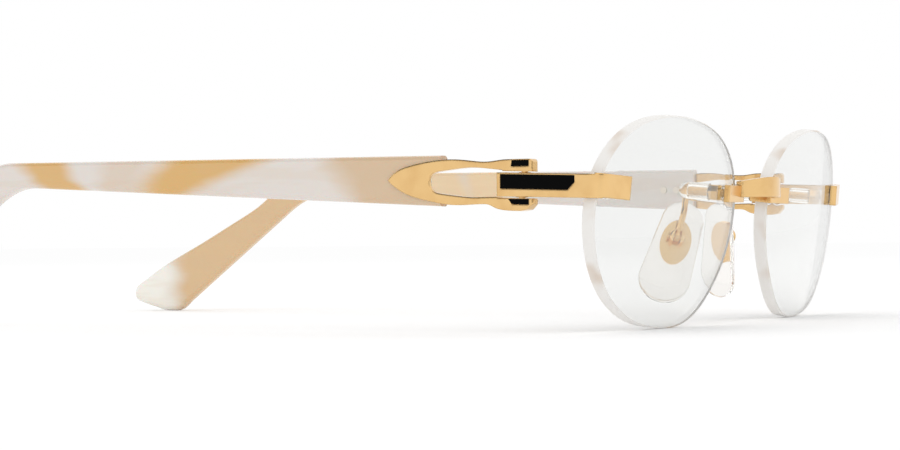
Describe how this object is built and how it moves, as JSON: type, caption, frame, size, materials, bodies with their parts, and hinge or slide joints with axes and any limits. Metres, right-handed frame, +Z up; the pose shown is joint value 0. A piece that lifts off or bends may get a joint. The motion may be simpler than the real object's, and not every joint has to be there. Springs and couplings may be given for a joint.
{
  "type": "eyeglasses",
  "caption": "Rimless eyeglasses with oval clear lenses on a gold bridge, forked gold hinges and pale horn temples that fold in.",
  "frame": {"origin": "middle of the footprint of the open glasses, on the surface they stand on", "axes": "+X towards the wearer's left, +Y from the lenses back along the temples, +Z up"},
  "size_m": [0.1222, 0.1716, 0.0361],
  "materials": {
    "gold": "polished gold plate",
    "lens_glass": "polished clear",
    "clear_plastic": "clear",
    "silicone": "translucent, soft satin",
    "horn": "polished pale horn with caramel bands",
    "black_lacquer": "gloss lacquer"
  },
  "bodies": {
    "front": {"bridge": "gold", "lens_right": "lens_glass", "lens_left": "lens_glass", "nasal_stud_right": "gold", "nasal_stud_left": "gold", "nasal_washer_right": "clear_plastic", "nasal_washer_left": "clear_plastic", "nasal_nut_right": "gold", "nasal_nut_left": "gold", "nasal_cap_right": "clear_plastic", "nasal_cap_left": "clear_plastic", "temporal_stud_right": "gold", "temporal_stud_left": "gold", "temporal_washer_right": "clear_plastic", "temporal_washer_left": "clear_plastic", "temporal_nut_right": "gold", "temporal_nut_left": "gold", "temporal_cap_right": "clear_plastic", "temporal_cap_left": "clear_plastic", "endpiece_right": "gold", "endpiece_left": "gold", "endpiece_inlay_right": "black_lacquer", "endpiece_inlay_left": "black_lacquer", "hinge_washers_right": "gold", "hinge_washers_left": "gold", "pad_arm_right": "gold", "pad_arm_left": "gold"},
    "right_temple": {"temple_fork_right": "gold", "fork_inlays_right": "black_lacquer", "temple_horn_right": "horn", "hinge_screw_right": "gold", "temple_rivets_right": "gold"},
    "right_nose_pad": {"pad_mount_right": "gold", "pad_screw_right": "gold", "nose_pad_right": "silicone"},
    "left_temple": {"temple_fork_left": "gold", "fork_inlays_left": "black_lacquer", "temple_horn_left": "horn", "hinge_screw_left": "gold", "temple_rivets_left": "gold"},
    "left_nose_pad": {"pad_mount_left": "gold", "pad_screw_left": "gold", "nose_pad_left": "silicone"}
  },
  "joints": [
    {"name": "right_temple_fold", "type": "hinge", "parent": "front", "child": "right_temple", "pos_m": [-0.0598, -0.06361, 0.02422], "axis": [0, 0.1236, -0.9923], "range_deg": [0, 87]},
    {"name": "left_temple_fold", "type": "hinge", "parent": "front", "child": "left_temple", "pos_m": [0.0598, -0.06361, 0.02422], "axis": [0, -0.1236, 0.9923], "range_deg": [0, 76]},
    {"name": "right_nose_pad_rock", "type": "hinge", "parent": "front", "child": "right_nose_pad", "pos_m": [-0.014, -0.07114, 0.01564], "axis": [-0.3841, 0.8839, 0.2669], "range_deg": [-3, 3]},
    {"name": "left_nose_pad_rock", "type": "hinge", "parent": "front", "child": "left_nose_pad", "pos_m": [0.014, -0.07114, 0.01564], "axis": [0.3841, 0.8839, 0.2669], "range_deg": [-3, 3]}
  ]
}
